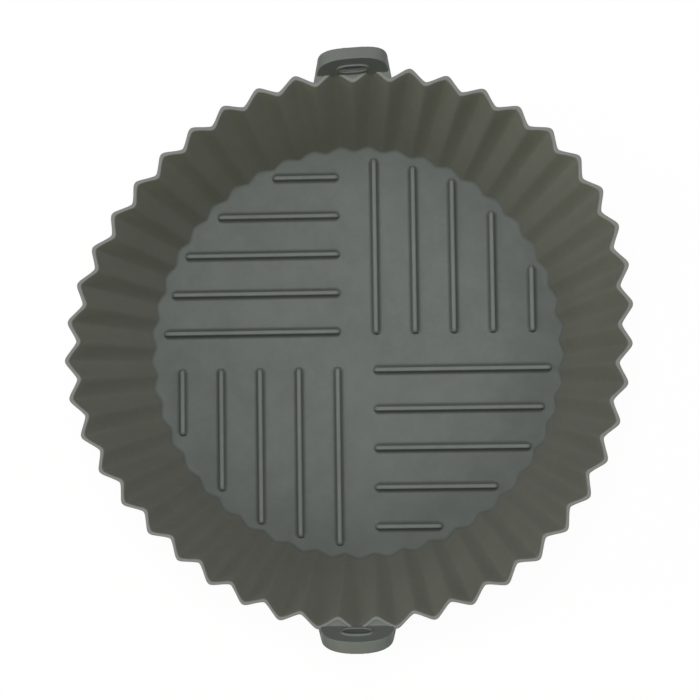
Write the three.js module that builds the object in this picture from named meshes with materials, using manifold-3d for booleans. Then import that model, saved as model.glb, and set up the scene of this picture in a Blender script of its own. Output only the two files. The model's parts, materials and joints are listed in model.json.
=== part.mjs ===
// A round pleated silicone liner for an air fryer basket.
// It has a flat floor with raised ribs, a pleated wall that flares up to the rim, and two slotted
// lift tabs, one at the back and one at the front, each on a web that fills the outside of the pleats.
// Millimetres, +Z up, origin at the centre of the underside, tabs on the Y axis.

import * as THREE from "three";
import { mergeVertices } from "three/addons/utils/BufferGeometryUtils.js";
import loadManifold from "manifold-3d";

const wasm = await loadManifold();
wasm.setup();

// Bowl
const RIM_DIAMETER = 200; // over the pleat crests at the rim
const BASE_DIAMETER = 162; // over the pleat crests at the floor
const HEIGHT = 48; // underside to rim
const FLOOR_THICKNESS = 1.5;
const FLOOR_CHAMFER = 0.8; // round the underside
const WALL_THICKNESS = 1.2;

// Pleats
const PLEATS = 45;
const RIM_PLEAT_DEPTH = 3.7;
const BASE_PLEAT_DEPTH = 1.7;
const FOLD_RADIUS = 1.9; // at mid wall
const FOLD_STEPS = 2; // facets in half a fold

// Floor ribs
const RIB_PITCH = 15;
const RIB_WIDTH = 3;
const RIB_HEIGHT = 1.9;
const RIB_CROWN_RADIUS = 0.9; // along the upper edges
const RIB_START = 6; // a rib's inner end, from the centre line that it points at
const RIB_END_GAP = 3.6; // from the common circle of the outer ends to the inner folds of the wall
const THIRD_RIB_EXTRA = 1.3; // how far the third rib of a quarter runs past that circle
const RIB_LEAST_LENGTH = 12;
const RIB_END_STEPS = 4; // facets of a half-round end
const RIB_CROWN_STEPS = 2;

// Lift tabs
const TAB_WIDTH = 26;
const TAB_HEIGHT = 9.4; // rim to top edge, along the tab
const TAB_THICKNESS = 4.8;
const TAB_CORNER_RADIUS = 8;
const TAB_EDGE_RADIUS = 0.7; // along the top edge
const SLOT_WIDTH = 10.5;
const SLOT_HEIGHT = 4.4;
const SLOT_BASE = 1.7; // rim to the slot's lower edge, along the tab

// Webs under the tabs
const WEB_WIDTH = 28;
const WEB_DROP = 11; // rim to the web's lower end
const WEB_FACE = 4; // height of the outer face before it tapers in to the pleats
const WEB_TOE = 0.8; // left outside the crests at the lower end
const WEB_CORNER_RADIUS = 8;

const CLEARANCE = 0.3; // between a web and the pleats, and between a tab and its web
const CUT_MARGIN = 2; // how far a cutting shape runs past what it cuts
const CURVE_STEPS = 6; // facets of a quarter or half turn on tabs and webs

// Colours of the grey silicone
const FLOOR_GREY = 0x696e6a;
const WALL_GREY = 0x55574e;
const SILICONE_ROUGHNESS = 0.72;

const PLEAT_ANGLE = (2 * Math.PI) / PLEATS;
const FRONT = -Math.PI / 2; // a crest lies here, so a valley lies at the back
const WALL_RISE = HEIGHT - FLOOR_THICKNESS;
const WALL_LEAN = Math.atan((RIM_DIAMETER - BASE_DIAMETER) / 2 / WALL_RISE);
const LEVEL_WALL = WALL_THICKNESS / Math.cos(WALL_LEAN); // wall thickness measured level

function silicone(color) {
  return new THREE.MeshStandardMaterial({ color, roughness: SILICONE_ROUGHNESS, metalness: 0 });
}

function namedMesh(name, geometry, color) {
  const mesh = new THREE.Mesh(geometry, silicone(color));
  mesh.name = name;
  return mesh;
}

// Surfaces from rings of points

// Joins rings of equal length, each counter-clockwise seen from above.
// A loop of rings closes on itself; otherwise the first and last ring are closed by flat fans.
function solidFromRings(rings, isLoop) {
  const count = rings[0].length;
  const points = rings.flat();
  const faces = [];
  const bands = isLoop ? rings.length : rings.length - 1;
  for (let band = 0; band < bands; band += 1) {
    const low = band * count;
    const high = ((band + 1) % rings.length) * count;
    for (let here = 0; here < count; here += 1) {
      const next = (here + 1) % count;
      faces.push(low + here, low + next, high + next);
      faces.push(low + here, high + next, high + here);
    }
  }
  if (!isLoop) {
    const top = (rings.length - 1) * count;
    const underside = points.push(middleOf(rings[0])) - 1;
    const upperside = points.push(middleOf(rings.at(-1))) - 1;
    for (let here = 0; here < count; here += 1) {
      const next = (here + 1) % count;
      faces.push(underside, next, here);
      faces.push(upperside, top + here, top + next);
    }
  }
  const geometry = new THREE.BufferGeometry().setFromPoints(points);
  geometry.setIndex(faces);
  geometry.computeVertexNormals();
  return geometry;
}

function middleOf(ring) {
  const sum = ring.reduce((total, point) => total.add(point), new THREE.Vector3());
  return sum.divideScalar(ring.length);
}

// Pleats

// The level outline of the pleats, moved outwards from mid wall by an offset.
// Each fold is an arc, and each flank is the line that touches a crest arc and a valley arc.
function pleatOutline(crestRadius, depth, offset) {
  const halfAngle = PLEAT_ANGLE / 2;
  const crestCentre = new THREE.Vector2(crestRadius - FOLD_RADIUS, 0);
  const valleyReach = crestRadius - depth + FOLD_RADIUS;
  const valleyCentre = new THREE.Vector2(valleyReach, 0).rotateAround(new THREE.Vector2(), halfAngle);
  const across = valleyCentre.clone().sub(crestCentre);
  const crossing = Math.asin((2 * FOLD_RADIUS) / across.length());
  const flankNormal = across.angle() + crossing - Math.PI / 2;

  const halfPleat = [];
  for (let step = 0; step <= FOLD_STEPS; step += 1) {
    const angle = (flankNormal * step) / FOLD_STEPS;
    halfPleat.push(onArc(crestCentre, FOLD_RADIUS + offset, angle));
  }
  for (let step = 0; step <= FOLD_STEPS; step += 1) {
    const angle = THREE.MathUtils.lerp(flankNormal, halfAngle, step / FOLD_STEPS);
    halfPleat.push(onArc(valleyCentre, offset - FOLD_RADIUS, angle));
  }
  const otherHalf = halfPleat.slice(1, -1).map((point) => new THREE.Vector2(point.x, -point.y));
  const pleat = [...otherHalf.reverse(), ...halfPleat];

  const outline = [];
  for (let index = 0; index < PLEATS; index += 1) {
    const turn = FRONT + index * PLEAT_ANGLE;
    outline.push(...pleat.map((point) => point.clone().rotateAround(new THREE.Vector2(), turn)));
  }
  return outline;
}

function onArc(centre, radius, angle) {
  return new THREE.Vector2(Math.cos(angle), Math.sin(angle)).multiplyScalar(radius).add(centre);
}

// One ring of the pleated wall at a height. Flanks and folds run straight from floor to rim.
function wallRing(height, offset) {
  const base = pleatOutline((BASE_DIAMETER - LEVEL_WALL) / 2, BASE_PLEAT_DEPTH, offset);
  const rim = pleatOutline((RIM_DIAMETER - LEVEL_WALL) / 2, RIM_PLEAT_DEPTH, offset);
  const share = (height - FLOOR_THICKNESS) / WALL_RISE;
  return base.map((point, index) => {
    const level = point.clone().lerp(rim[index], share);
    return new THREE.Vector3(level.x, level.y, height);
  });
}

const OUTSIDE = LEVEL_WALL / 2;
const INSIDE = -LEVEL_WALL / 2;

function pleatedWall() {
  const rings = [
    wallRing(FLOOR_THICKNESS, OUTSIDE),
    wallRing(HEIGHT, OUTSIDE),
    wallRing(HEIGHT, INSIDE),
    wallRing(FLOOR_THICKNESS, INSIDE),
  ];
  return namedMesh("pleated_wall", solidFromRings(rings, true), WALL_GREY);
}

// The floor is a scalloped plate that carries the wall on its edge.
function floorPlate() {
  const rings = [
    wallRing(0, OUTSIDE - FLOOR_CHAMFER),
    wallRing(FLOOR_CHAMFER, OUTSIDE),
    wallRing(FLOOR_THICKNESS, OUTSIDE),
  ];
  return namedMesh("floor", solidFromRings(rings, false), FLOOR_GREY);
}

// Ribs

// A level ring with straight sides along X and half-round ends.
function obroundRing(halfSpan, radius, height) {
  const ring = [];
  for (const end of [1, -1]) {
    for (let step = 0; step <= RIB_END_STEPS; step += 1) {
      const angle = Math.PI * (step / RIB_END_STEPS - 0.5);
      const along = end * (halfSpan + radius * Math.cos(angle));
      ring.push(new THREE.Vector3(along, end * radius * Math.sin(angle), height));
    }
  }
  return ring;
}

// A bar along X with round ends and rounded upper edges, its flat underside at zero.
function ribBar(length) {
  const halfSpan = (length - RIB_WIDTH) / 2;
  const shoulder = RIB_HEIGHT - RIB_CROWN_RADIUS;
  const rings = [obroundRing(halfSpan, RIB_WIDTH / 2, 0)];
  for (let step = 0; step <= RIB_CROWN_STEPS; step += 1) {
    const angle = (step / RIB_CROWN_STEPS) * (Math.PI / 2);
    const inset = RIB_CROWN_RADIUS * (1 - Math.cos(angle));
    const height = shoulder + RIB_CROWN_RADIUS * Math.sin(angle);
    rings.push(obroundRing(halfSpan, RIB_WIDTH / 2 - inset, height));
  }
  return solidFromRings(rings, false);
}

// Each quarter of the floor has parallel ribs, turned a right angle from its neighbours like a pinwheel.
function ribQuarters() {
  const quarters = new THREE.Group();
  const wallFolds = BASE_DIAMETER / 2 - LEVEL_WALL - BASE_PLEAT_DEPTH;
  const endCircle = wallFolds - RIB_END_GAP;
  const names = ["front_right", "back_right", "back_left", "front_left"];
  names.forEach((name, turn) => {
    const quarter = new THREE.Group();
    quarter.rotation.z = (turn * Math.PI) / 2;
    quarter.position.z = FLOOR_THICKNESS;
    for (let row = 1; ; row += 1) {
      const side = RIB_PITCH * (row - 0.5);
      const extra = row === 3 ? THIRD_RIB_EXTRA : 0;
      const end = Math.sqrt(Math.max(endCircle ** 2 - side ** 2, 0)) + extra;
      const length = end - RIB_START;
      if (length < RIB_LEAST_LENGTH) {
        break;
      }
      const rib = namedMesh(`rib_${name}_${row}`, ribBar(length), FLOOR_GREY);
      rib.position.set(RIB_START + length / 2, -side, 0);
      quarter.add(rib);
    }
    quarters.add(quarter);
  });
  return quarters;
}

// Cutting and joining

function toSolid(geometry) {
  const bare = geometry.clone();
  bare.deleteAttribute("normal");
  bare.deleteAttribute("uv");
  const merged = mergeVertices(bare);
  const vertProperties = new Float32Array(merged.attributes.position.array);
  const triVerts = new Uint32Array(merged.index.array);
  return new wasm.Manifold(new wasm.Mesh({ numProp: 3, vertProperties, triVerts }));
}

function toGeometry(solid) {
  const mesh = solid.getMesh();
  const geometry = new THREE.BufferGeometry();
  geometry.setAttribute("position", new THREE.BufferAttribute(mesh.vertProperties, 3));
  geometry.setIndex(new THREE.BufferAttribute(mesh.triVerts, 1));
  geometry.computeVertexNormals();
  return geometry;
}

// A front outline (x, z) made into a slab that runs along Y, centred on a place.
function slabAlongY(outline, depth, middle) {
  const slab = new THREE.ExtrudeGeometry(outline, { depth, bevelEnabled: false, curveSegments: CURVE_STEPS });
  return slab.rotateX(Math.PI / 2).translate(0, middle + depth / 2, 0);
}

// A side section (y, z) made into a bar that runs along X, centred on the Y axis.
function barAlongX(section, width) {
  const options = { depth: width, bevelEnabled: false, curveSegments: CURVE_STEPS };
  const bar = new THREE.ExtrudeGeometry(section, options);
  return bar.translate(0, 0, -width / 2).rotateX(Math.PI / 2).rotateZ(Math.PI / 2);
}

// Tabs and webs, as they stand at the back

// The tab follows the wall's lean, its inner face in line with the inner edge of the rim's crests.
const TAB_RUN = new THREE.Vector2(Math.sin(WALL_LEAN), Math.cos(WALL_LEAN)); // up along the tab, as (y, z)
const TAB_OUT = new THREE.Vector2(Math.cos(WALL_LEAN), -Math.sin(WALL_LEAN)); // out through the tab
const RIM_INNER_EDGE = new THREE.Vector2(RIM_DIAMETER / 2 - LEVEL_WALL, HEIGHT);
const WEB_TOP = LEVEL_WALL * Math.sin(WALL_LEAN); // where the rim's outer edge lies, along the tab
const TAB_AXIS_RISE = WEB_TOP + CLEARANCE + TAB_THICKNESS / 2;

function onTab(along, out) {
  return RIM_INNER_EDGE.clone().addScaledVector(TAB_RUN, along).addScaledVector(TAB_OUT, out);
}

// A plate with a rounded top outline, an obround slot and a half-round lower edge about its bending axis.
function tabGeometry() {
  const half = TAB_WIDTH / 2;
  const top = TAB_HEIGHT - TAB_AXIS_RISE;
  const bottom = -TAB_THICKNESS / 2 - CUT_MARGIN;
  const corner = TAB_CORNER_RADIUS;
  const outline = new THREE.Shape();
  outline.moveTo(-half, bottom);
  outline.lineTo(half, bottom);
  outline.absarc(half - corner, top - corner, corner, 0, Math.PI / 2, false);
  outline.absarc(corner - half, top - corner, corner, Math.PI / 2, Math.PI, false);
  outline.closePath();

  const slotEnd = SLOT_HEIGHT / 2;
  const slotSpan = SLOT_WIDTH / 2 - slotEnd;
  const slotMiddle = SLOT_BASE + slotEnd - TAB_AXIS_RISE;
  const slot = new THREE.Path();
  slot.absarc(slotSpan, slotMiddle, slotEnd, -Math.PI / 2, Math.PI / 2, false);
  slot.absarc(-slotSpan, slotMiddle, slotEnd, Math.PI / 2, (3 * Math.PI) / 2, false);
  slot.closePath();
  outline.holes.push(slot);

  const face = TAB_THICKNESS / 2;
  const edge = TAB_EDGE_RADIUS;
  const section = new THREE.Shape();
  section.absarc(0, 0, face, Math.PI, 2 * Math.PI, false);
  section.absarc(face - edge, top - edge, edge, 0, Math.PI / 2, false);
  section.absarc(edge - face, top - edge, edge, Math.PI / 2, Math.PI, false);
  section.closePath();

  const slab = toSolid(slabAlongY(outline, TAB_THICKNESS + CUT_MARGIN, 0));
  const bar = toSolid(barAlongX(section, TAB_WIDTH + CUT_MARGIN));
  return toGeometry(slab.intersect(bar));
}

// A gusset that fills the outside of the pleats below the tab and tapers in to the crests.
function webGeometry(turn) {
  const lowerEnd = HEIGHT - WEB_DROP;
  const crestAtLowerEnd = RIM_DIAMETER / 2 - WEB_DROP * Math.tan(WALL_LEAN);
  const insideWall = crestAtLowerEnd - RIM_PLEAT_DEPTH - CUT_MARGIN;
  const outerTop = onTab(WEB_TOP, TAB_THICKNESS);
  const outerFoot = onTab(WEB_TOP - WEB_FACE, TAB_THICKNESS);
  const section = new THREE.Shape();
  section.moveTo(insideWall, HEIGHT);
  section.lineTo(insideWall, lowerEnd);
  section.lineTo(crestAtLowerEnd + CLEARANCE + WEB_TOE, lowerEnd);
  section.lineTo(outerFoot.x, outerFoot.y);
  section.lineTo(outerTop.x, outerTop.y);
  section.lineTo(RIM_DIAMETER / 2, HEIGHT);
  section.closePath();

  const half = WEB_WIDTH / 2;
  const corner = WEB_CORNER_RADIUS;
  const outline = new THREE.Shape();
  outline.moveTo(half, HEIGHT + CUT_MARGIN);
  outline.lineTo(-half, HEIGHT + CUT_MARGIN);
  outline.absarc(corner - half, lowerEnd + corner, corner, Math.PI, (3 * Math.PI) / 2, false);
  outline.absarc(half - corner, lowerEnd + corner, corner, (3 * Math.PI) / 2, 2 * Math.PI, false);
  outline.closePath();

  const depth = outerTop.x - insideWall + 2 * CUT_MARGIN;
  const slab = toSolid(slabAlongY(outline, depth, (outerTop.x + insideWall) / 2));
  const bar = toSolid(barAlongX(section, WEB_WIDTH + CUT_MARGIN));
  const pleatRings = [lowerEnd - CUT_MARGIN, HEIGHT + CUT_MARGIN];
  const pleats = solidFromRings(pleatRings.map((height) => wallRing(height, OUTSIDE + CLEARANCE)), false);
  return toGeometry(bar.intersect(slab).subtract(toSolid(pleats.rotateZ(-turn))));
}

function liftTab(name, turn) {
  const side = new THREE.Group();
  side.rotation.z = turn;
  const tab = namedMesh(`lift_tab_${name}`, tabGeometry(), WALL_GREY);
  const axis = onTab(TAB_AXIS_RISE, TAB_THICKNESS / 2);
  tab.position.set(0, axis.x, axis.y);
  tab.rotation.x = -WALL_LEAN;
  const web = namedMesh(`tab_web_${name}`, webGeometry(turn), WALL_GREY);
  side.add(tab, web);
  return side;
}

const liner = new THREE.Group();
liner.add(floorPlate(), pleatedWall(), ribQuarters());
liner.add(liftTab("back", 0), liftTab("front", Math.PI));

export default liner;
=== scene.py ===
# %% [markdown]
# # A pleated silicone air fryer liner
# The liner is one soft grey moulding: a flat floor with raised ribs, a pleated wall that flares up to a
# thin rim, and two slotted tabs to lift it by. The CAD model gives every place and main size. This lesson
# dresses it with smooth, rounded silicone, and the shell and the ribs ride on the CAD body of the liner.

# %% Load the frame
import json
import math

import bmesh
import bpy
import numpy as np
from mathutils import Euler, Matrix, Vector

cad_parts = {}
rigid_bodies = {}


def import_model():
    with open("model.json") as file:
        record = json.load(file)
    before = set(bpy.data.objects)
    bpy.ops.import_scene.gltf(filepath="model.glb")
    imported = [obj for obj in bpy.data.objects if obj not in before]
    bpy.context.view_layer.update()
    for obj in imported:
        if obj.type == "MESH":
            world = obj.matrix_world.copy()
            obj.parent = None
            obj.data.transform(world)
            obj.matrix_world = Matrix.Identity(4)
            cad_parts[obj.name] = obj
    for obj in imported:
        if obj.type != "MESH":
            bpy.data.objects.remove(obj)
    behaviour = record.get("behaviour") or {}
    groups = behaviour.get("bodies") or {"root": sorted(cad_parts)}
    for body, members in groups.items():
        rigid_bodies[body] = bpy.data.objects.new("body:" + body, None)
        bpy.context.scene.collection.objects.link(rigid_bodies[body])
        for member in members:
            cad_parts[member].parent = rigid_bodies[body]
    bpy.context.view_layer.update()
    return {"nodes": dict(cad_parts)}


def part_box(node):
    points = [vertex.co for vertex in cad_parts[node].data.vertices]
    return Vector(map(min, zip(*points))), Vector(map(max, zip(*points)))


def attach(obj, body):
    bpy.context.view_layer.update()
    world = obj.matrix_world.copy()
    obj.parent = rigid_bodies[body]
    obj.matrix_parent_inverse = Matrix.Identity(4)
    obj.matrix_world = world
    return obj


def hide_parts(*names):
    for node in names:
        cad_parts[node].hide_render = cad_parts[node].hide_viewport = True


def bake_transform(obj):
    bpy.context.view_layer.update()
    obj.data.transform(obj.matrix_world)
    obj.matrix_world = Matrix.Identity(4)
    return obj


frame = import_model()
scene = bpy.context.scene
scene.view_settings.view_transform = "Standard"

# %% [markdown]
# ## Sizes from the frame
# Blender works in metres, so small sizes are written as a number times MM. What the CAD already knows, such
# as the rim's radius and the height of the floor, is read from its boxes and not written down twice. A crest
# of the pleats lies straight at the front, so the lowest Y of the wall is the radius over the crests.

# %% Bowl sizes
MM = 0.001
wall_low, wall_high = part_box("pleated_wall")
floor_low, floor_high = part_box("floor")
RIM_RADIUS = -wall_low.y
RIM_HEIGHT = wall_high.z
BASE_RADIUS = -floor_low.y
FLOOR_TOP = floor_high.z
WALL_RISE = RIM_HEIGHT - FLOOR_TOP
WALL_FLARE = (RIM_RADIUS - BASE_RADIUS) / WALL_RISE
WALL_LEAN = math.atan(WALL_FLARE)
PLEATS = 45
FRONT = -math.pi / 2
print(f"rim {RIM_RADIUS / MM:.1f} mm, base {BASE_RADIUS / MM:.1f} mm")
print(f"the wall leans out by {math.degrees(WALL_LEAN):.1f} degrees")

# %% [markdown]
# ## A short way to write node trees
# Node trees can be drawn by hand in the editor, but a script can be read, changed and run again. This helper
# adds a node, sets its options, and joins a value or another node's output to each input, so that the trees
# below read like a list of steps. The shapes, the finishes, the paper and the sky all use it. In the trees of
# the shapes, every size is a named input of the modifier.

# %% Helper for all node trees
NODE_SPACING = 190


class Sheet:
    """A node tree that is written down node by node."""

    def __init__(self, tree):
        self.tree = tree

    def node(self, kind, inputs=None, output=None, **options):
        """Adds a node and returns its output of that name, or else the first one in use."""
        made = self.tree.nodes.new(kind)
        made.location = (NODE_SPACING * len(self.tree.nodes), 0)
        for option, value in options.items():
            setattr(made, option, value)
        for key, value in (inputs or {}).items():
            self.join(value, made.inputs[key])
        if output:
            return made.outputs[output]
        return next((o for o in made.outputs if o.enabled), None)

    def join(self, value, socket):
        """Links another node's output to a socket, or sets the socket to a plain value."""
        if isinstance(value, bpy.types.NodeSocket):
            self.tree.links.new(value, socket)
        else:
            socket.default_value = value

    def math(self, operation, *values):
        return self.node("ShaderNodeMath", dict(enumerate(values)), operation=operation)

    def ramp(self, value, start, end, low=0.0, high=1.0):
        """Eases from a low to a high value while the given one runs from a start to an end."""
        inputs = {"Value": value, "From Min": start, "From Max": end, "To Min": low, "To Max": high}
        return self.node("ShaderNodeMapRange", inputs, "Result", interpolation_type="SMOOTHSTEP")


# %% Helper for the trees of shapes
ROUND_STEPS = 5


class ShapeSheet(Sheet):
    """A Geometry Nodes tree with named sizes, which is grown into an object."""

    def __init__(self, name):
        super().__init__(bpy.data.node_groups.new(name, "GeometryNodeTree"))
        for direction in ("INPUT", "OUTPUT"):
            self.tree.interface.new_socket("Geometry", in_out=direction, socket_type="NodeSocketGeometry")
        self.entry = self.tree.nodes.new("NodeGroupInput")
        self.values = {}

    def size(self, name, value, kind="NodeSocketFloat"):
        """A named input of the modifier."""
        socket = self.tree.interface.new_socket(name, in_out="INPUT", socket_type=kind)
        self.values[socket.identifier] = value
        return next(o for o in self.entry.outputs if o.identifier == socket.identifier)

    def vector(self, x=0.0, y=0.0, z=0.0):
        return self.node("ShaderNodeCombineXYZ", {"X": x, "Y": y, "Z": z})

    def pick(self, kind, choices):
        """One value for each point, chosen by the point's number."""
        switch = self.tree.nodes.new("GeometryNodeIndexSwitch")
        switch.data_type = kind
        for _ in choices[2:]:
            switch.index_switch_items.new()
        self.join(self.node("GeometryNodeInputIndex"), switch.inputs["Index"])
        for number, choice in enumerate(choices):
            self.join(choice, switch.inputs[f"Item_{number}"])
        return switch.outputs[0]

    def keep(self, geometry, kind, value):
        """Stores a value on the points, and returns the geometry and the stored value."""
        capture = self.tree.nodes.new("GeometryNodeCaptureAttribute")
        capture.capture_items.new(kind, "kept")
        self.join(geometry, capture.inputs[0])
        self.join(value, capture.inputs[1])
        return capture.outputs[0], capture.outputs[1]

    def rounded_line(self, corners, radii, closed):
        """A line through corners, each an (across, up) pair of sizes, rounded by its own radius."""
        line = self.node("GeometryNodeMeshLine", {"Count": len(corners)})
        places = self.pick("VECTOR", [self.vector(across, up) for across, up in corners])
        line = self.node("GeometryNodeSetPosition", {"Geometry": line, "Position": places})
        line = self.node("GeometryNodeMeshToCurve", {"Mesh": line})
        line = self.node("GeometryNodeSetSplineCyclic", {"Geometry": line, "Cyclic": closed})
        rounding = {"Curve": line, "Count": ROUND_STEPS, "Limit Radius": True}
        rounding["Radius"] = self.pick("FLOAT", radii)
        return self.node("GeometryNodeFilletCurve", rounding, mode="POLY")

    def finish(self, geometry, material):
        """Ends the tree as a plain mesh with its material."""
        geometry = self.node("GeometryNodeSetShadeSmooth", {"Geometry": geometry})
        geometry = self.node("GeometryNodeRealizeInstances", {"Geometry": geometry})
        geometry = self.node("GeometryNodeSetMaterial", {"Geometry": geometry, "Material": material})
        self.node("NodeGroupOutput", {"Geometry": geometry})

    def grow(self, name, seed_mesh):
        """Runs the tree on a mesh and returns a new object that holds the plain result."""
        piece = shown(name, seed_mesh)
        modifier = piece.modifiers.new(self.tree.name, "NODES")
        modifier.node_group = self.tree
        for identifier, value in self.values.items():
            modifier[identifier] = value
        settle(piece)
        return piece


# %% Helpers for meshes
def shown(name, data):
    """A new object in the scene."""
    piece = bpy.data.objects.new(name, data)
    scene.collection.objects.link(piece)
    return piece


def plain_mesh(piece):
    """A new mesh of what a piece shows, with its modifiers worked in."""
    return bpy.data.meshes.new_from_object(piece.evaluated_get(bpy.context.evaluated_depsgraph_get()))


def settle(piece):
    """Puts what a piece shows in place of its modifiers."""
    seed, mesh = piece.data, plain_mesh(piece)
    piece.modifiers.clear()
    piece.data = mesh
    bpy.data.meshes.remove(seed)
    mesh.name = piece.name
    print(f"{piece.name}: {len(mesh.vertices)} points, {len(mesh.polygons)} faces")


def points_of(mesh):
    """The points of a mesh, as rows of x, y and z."""
    points = np.empty(len(mesh.vertices) * 3)
    mesh.vertices.foreach_get("co", points)
    return points.reshape(-1, 3)


def set_points(mesh, points):
    mesh.vertices.foreach_set("co", points.ravel())
    mesh.update()


def normals_of(mesh):
    """The directions that the skin faces at the points of a mesh, as rows of x, y and z."""
    normals = np.empty(len(mesh.vertices) * 3)
    mesh.vertex_normals.foreach_get("vector", normals)
    return normals.reshape(-1, 3)


def set_mark(mesh, name, shares):
    """Stores a share from 0 to 1 at each point, which a finish reads by its name."""
    mesh.attributes.new(name, "FLOAT", "POINT").data.foreach_set("value", shares)


def share_between(values, start, end):
    """How far values are on their way from a start to an end, from 0 to 1."""
    return np.clip((values - start) / (end - start), 0, 1)


def smooth_step(share):
    """Eases a share in and out between 0 and 1."""
    share = np.clip(share, 0, 1)
    return share * share * (3 - 2 * share)


# %% [markdown]
# ## The silicone finish
# Moulded silicone is matte with a soft gloss: the mould is blasted, so the skin has a fine grain, and cured
# rubber is never one even grey. A flat colour would look like plastic, so the shade drifts in wide, faint
# clouds and in smaller flecks, the gloss drifts too, and a few pale dust specks sit on the skin. The rest is
# painted light and shade: the floor darkens towards its edge as painted shade, the wall's olive cast stands
# in for the tint of the light on it, the rim top and the rib crowns are painted highlights, the rib sides get
# painted shade, and the tabs' own grey is darker than the floor's as painted shade on their steep faces.
# Marks that are stored on the skin paint shade into the front slot and light into the back one, painted light
# onto the level tops of the tabs, and painted shade onto the steep sides that face the front. It all comes
# from
# Object coordinates and these marks, so the finish stays put on the skin when a piece moves.

# %% Greys of the silicone
FLOOR_GREY = (0.139, 0.155, 0.142, 1.0)
# Painted shade: the floor grows darker from an off-centre middle out to the foot of the wall.
EDGE_SHADE_GREY = (0.097, 0.109, 0.101, 1.0)
# Painted light: the wall's olive cast stands in for the tint of the light on it, on the same silicone as the
# floor.
WALL_LIGHT_TINT_GREY = (0.147, 0.153, 0.125, 1.0)
# Painted highlight: the rim top is paler than the rest of the shell.
RIM_HIGHLIGHT_GREY = (0.215, 0.225, 0.207, 1.0)
# Painted shade: the rib sides and coves are darker than the floor.
SIDE_SHADE_GREY = (0.091, 0.102, 0.094, 1.0)
# Painted highlight: the rib crowns are paler than the floor.
CROWN_HIGHLIGHT_GREY = (0.167, 0.185, 0.169, 1.0)
END_GREY = (0.140, 0.155, 0.142, 1.0)
# Painted shade on the rib sides that face the front.
LEE_SHADE_GREY = (0.054, 0.061, 0.056, 1.0)
# Painted shade: the tabs' grey is darker than the floor's, for the shade on their steep faces.
TAB_SHADED_GREY = (0.107, 0.119, 0.107, 1.0)
# Painted light on the level tops of the tabs.
LEVEL_LIGHT_GREY = (0.160, 0.173, 0.158, 1.0)
# Painted shade on the tabs' steep skin that faces the front.
TAB_LEE_SHADE_GREY = (0.080, 0.089, 0.080, 1.0)
# Painted shade inside the front tab's slot.
SLOT_SHADE_GREY = (0.070, 0.077, 0.069, 1.0)
# Painted light inside the back tab's slot.
SLOT_LIGHT_GREY = (0.245, 0.258, 0.240, 1.0)
DUST_GREY = (0.34, 0.36, 0.34, 1.0)
# The middle and the reach of the painted shade on the floor.
PALE_MIDDLE = (-7 * MM, 9 * MM, FLOOR_TOP)
MIDDLE_TO_EDGE = (50 * MM, 92 * MM)
FLOOR_TO_WALL = (FLOOR_TOP + 0.2 * MM, FLOOR_TOP + 2 * MM)
WALL_TO_RIM = (RIM_HEIGHT - 0.7 * MM, RIM_HEIGHT - 0.2 * MM)
FLOOR_TO_SIDE = (FLOOR_TOP - 0.05 * MM, FLOOR_TOP + 0.45 * MM)
SIDE_TO_CROWN = (FLOOR_TOP + 1.4 * MM, FLOOR_TOP + 1.85 * MM)
print(f"the wall's grey starts {FLOOR_TO_WALL[0] / MM:.1f} mm up, the rim's {WALL_TO_RIM[0] / MM:.1f} mm up")

# %% Drift, dust and gloss of the silicone
# Each noise is a scale, a detail and a roughness. NOISE_SPAN holds most of what a noise gives.
CLOUD_NOISE = (28, 3.0, 0.5)
FLECK_NOISE = (420, 4.0, 0.6)
GLOSS_NOISE = (140, 2.0, 0.5)
GRAIN_NOISE = (3200, 2.0, 0.65)
NOISE_SPAN = (0.3, 0.7)
CLOUD_SHADES = (0.96, 1.04)
FLECK_SHADES = (0.97, 1.03)
GLOSS_SPAN = (0.60, 0.68)
GRAIN_STRENGTH = 0.25
GRAIN_DEPTH = 0.04 * MM
DUST_SCALE = 75
DUST_SPECK = (0.008, 0.022)
DUST_FREE_SHARE = 0.9
SHADER_VALUES = {"IOR": 1.41, "Specular IOR Level": 0.4, "Sheen Weight": 0.05, "Sheen Roughness": 0.5}


class FinishSheet(Sheet):
    """A material's node tree, with its shader and the Object coordinates."""

    def __init__(self, name):
        self.material = bpy.data.materials.new(name)
        self.material.use_nodes = True
        super().__init__(self.material.node_tree)
        self.shader = next(n for n in self.tree.nodes if n.type == "BSDF_PRINCIPLED")
        self.place = self.node("ShaderNodeTexCoord", output="Object")

    def drift(self, noise, low, high):
        """A value that drifts from low to high over the skin."""
        return self.ramp(self.noise(*noise), *NOISE_SPAN, low, high)

    def noise(self, scale, detail, roughness):
        inputs = {"Vector": self.place, "Scale": scale, "Detail": detail, "Roughness": roughness}
        return self.node("ShaderNodeTexNoise", inputs, "Fac")

    def far_from(self, middle, start, end):
        """How far a place is from a middle, as a share from a start to an end."""
        apart = self.node("ShaderNodeVectorMath", {0: self.place, 1: middle}, "Value", operation="DISTANCE")
        return self.ramp(apart, start, end)

    def blend(self, factor, first, second, how="MIX"):
        mix = self.tree.nodes.new("ShaderNodeMix")
        mix.data_type = "RGBA"
        mix.blend_type = how
        for key, value in (("Factor_Float", factor), ("A_Color", first), ("B_Color", second)):
            self.join(value, next(s for s in mix.inputs if s.identifier == key))
        return next(o for o in mix.outputs if o.identifier == "Result_Color")

    def dust(self):
        """1 on a few small specks, which sit at the middles of some of the cells of a pattern."""
        apart = self.node("ShaderNodeTexVoronoi", {"Vector": self.place, "Scale": DUST_SCALE}, "Distance")
        chance = self.node("ShaderNodeSeparateColor", {"Color": apart.node.outputs["Color"]}, "Red")
        dusty = self.math("GREATER_THAN", chance, DUST_FREE_SHARE)
        return self.math("MULTIPLY", self.ramp(apart, *DUST_SPECK, 1.0, 0.0), dusty)


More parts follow.
